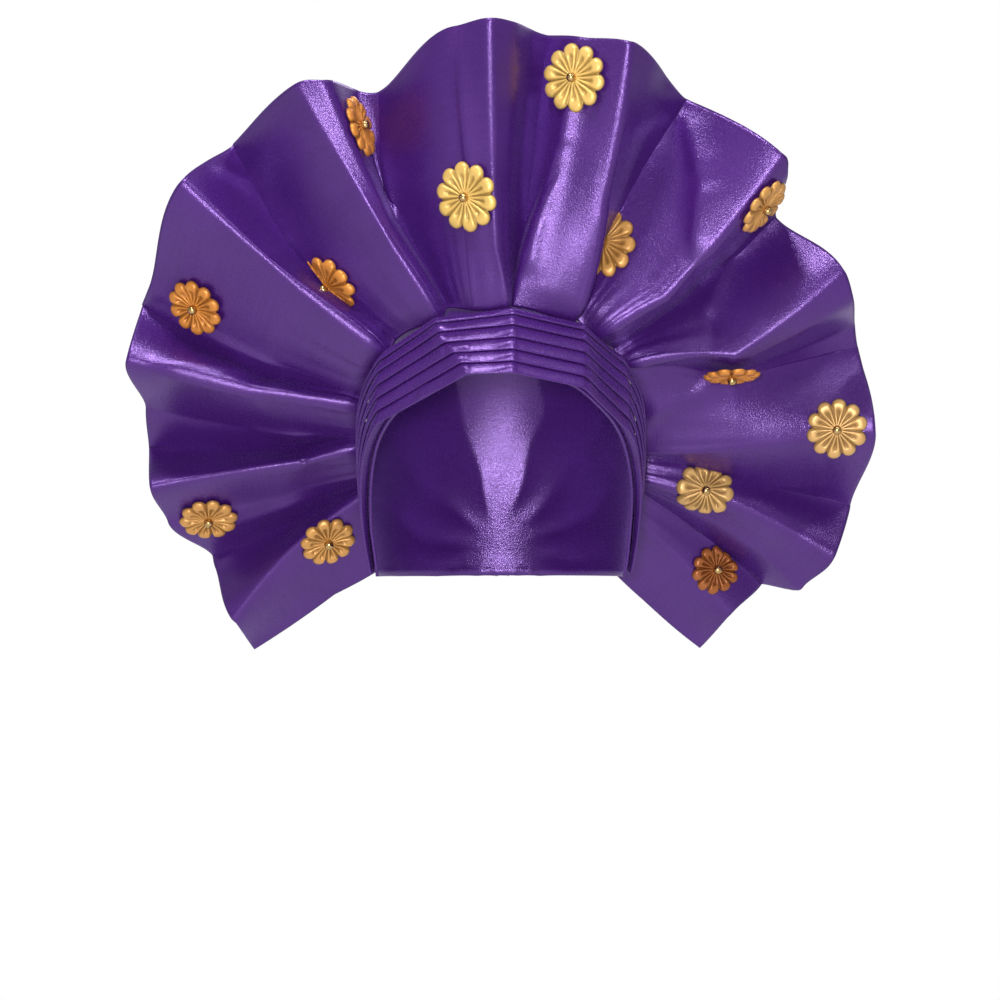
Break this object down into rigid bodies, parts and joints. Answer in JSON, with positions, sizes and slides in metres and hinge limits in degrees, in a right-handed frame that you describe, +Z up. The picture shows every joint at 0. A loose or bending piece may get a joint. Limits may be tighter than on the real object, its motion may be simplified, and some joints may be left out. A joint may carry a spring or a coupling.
{
  "type": "tied gele head tie",
  "caption": "Tied head tie of stiff purple satin: a head wrap with layered brow folds, a nape knot and a tall pleated ruff sewn with gilt leather flowers.",
  "frame": {"origin": "the middle of the wearer's head, level with the temples, where the head fills the wrap", "axes": "+Z up, the face looks along -Y, +X to the viewer's right"},
  "size_m": [0.4126, 0.211, 0.3441],
  "materials": {
    "purple_satin": "glossy crisp satin",
    "gilt_leather": "satin gilt, embossed petals",
    "bead_gold": "polished"
  },
  "bodies": {
    "root": {"crown_wrap": "purple_satin", "brow_fold_1": "purple_satin", "brow_fold_2": "purple_satin", "brow_fold_3": "purple_satin", "brow_fold_4": "purple_satin", "brow_fold_5": "purple_satin", "brow_fold_6": "purple_satin", "pleated_ruff": "purple_satin", "nape_knot": "purple_satin", "flower_01": "gilt_leather", "flower_02": "gilt_leather", "flower_03": "gilt_leather", "flower_04": "gilt_leather", "flower_05": "gilt_leather", "flower_06": "gilt_leather", "flower_07": "gilt_leather", "flower_08": "gilt_leather", "flower_09": "gilt_leather", "flower_10": "gilt_leather", "flower_11": "gilt_leather", "flower_12": "gilt_leather", "flower_13": "gilt_leather", "flower_bead_01": "bead_gold", "flower_bead_02": "bead_gold", "flower_bead_03": "bead_gold", "flower_bead_04": "bead_gold", "flower_bead_05": "bead_gold", "flower_bead_06": "bead_gold", "flower_bead_07": "bead_gold", "flower_bead_08": "bead_gold", "flower_bead_09": "bead_gold", "flower_bead_10": "bead_gold", "flower_bead_11": "bead_gold", "flower_bead_12": "bead_gold", "flower_bead_13": "bead_gold"}
  },
  "joints": []
}
